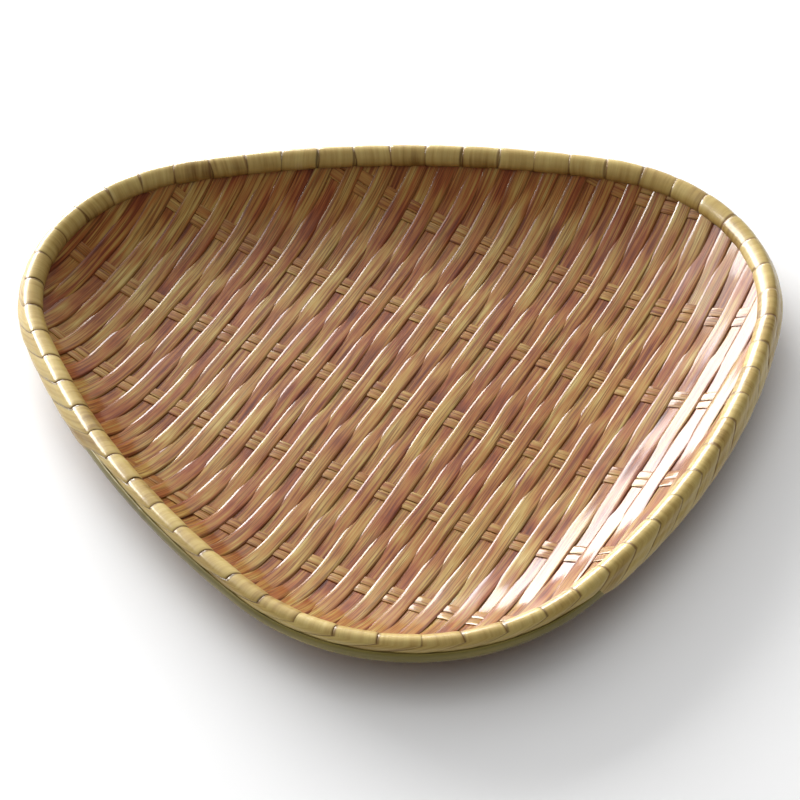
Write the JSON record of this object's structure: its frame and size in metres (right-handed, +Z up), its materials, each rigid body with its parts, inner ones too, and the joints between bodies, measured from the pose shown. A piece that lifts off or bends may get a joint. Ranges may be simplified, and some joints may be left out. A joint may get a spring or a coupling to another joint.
{
  "type": "winnowing basket",
  "caption": "Shallow rounded-triangle winnowing basket: wide bamboo warps woven over paired wefts into a flat-floored bowl, with a bound hoop rim.",
  "frame": {"origin": "under the middle of the rim's outline, on the plane that the basket rests on", "axes": "+Z up out of the open bowl, +X to the right along the broad far edge, +Y from the narrow near corner towards the far edge"},
  "size_m": [0.3994, 0.3637, 0.0339],
  "materials": {
    "warp_tan": "glossy lacquered split bamboo",
    "warp_red": "glossy lacquered split bamboo, redder",
    "warp_pale": "glossy lacquered split bamboo, paler",
    "weft": "glossy lacquered split bamboo",
    "hoop": "plain split bamboo",
    "binding": "glossy bamboo skin strip",
    "lower_hoop": "smooth green-grey bamboo skin"
  },
  "bodies": {
    "root": {"warp_01": "warp_red", "warp_02": "warp_tan", "warp_03": "warp_red", "warp_04": "warp_tan", "warp_05": "warp_pale", "warp_06": "warp_tan", "warp_07": "warp_pale", "warp_08": "warp_red", "warp_09": "warp_pale", "warp_10": "warp_red", "warp_11": "warp_tan", "warp_12": "warp_red", "warp_13": "warp_tan", "warp_14": "warp_red", "warp_15": "warp_tan", "warp_16": "warp_pale", "warp_17": "warp_tan", "warp_18": "warp_pale", "warp_19": "warp_red", "warp_20": "warp_pale", "warp_21": "warp_red", "warp_22": "warp_tan", "warp_23": "warp_red", "warp_24": "warp_tan", "warp_25": "warp_red", "warp_26": "warp_tan", "warp_27": "warp_pale", "warp_28": "warp_tan", "warp_29": "warp_pale", "warp_30": "warp_red", "warp_31": "warp_pale", "warp_32": "warp_red", "warp_33": "warp_tan", "warp_34": "warp_red", "warp_35": "warp_tan", "warp_36": "warp_red", "warp_37": "warp_tan", "warp_38": "warp_pale", "warp_39": "warp_tan", "warp_40": "warp_pale", "warp_41": "warp_red", "warp_42": "warp_pale", "warp_43": "warp_red", "warp_44": "warp_tan", "warp_45": "warp_red", "warp_46": "warp_tan", "warp_47": "warp_red", "warp_48": "warp_tan", "warp_49": "warp_pale", "weft_pair_1": "weft", "weft_pair_2": "weft", "weft_pair_3": "weft", "weft_pair_4": "weft", "weft_pair_5": "weft", "weft_pair_6": "weft", "inner_hoop": "hoop", "outer_hoop": "hoop", "rim_cane": "hoop", "rim_binding": "binding", "lower_hoop": "lower_hoop"}
  },
  "joints": []
}
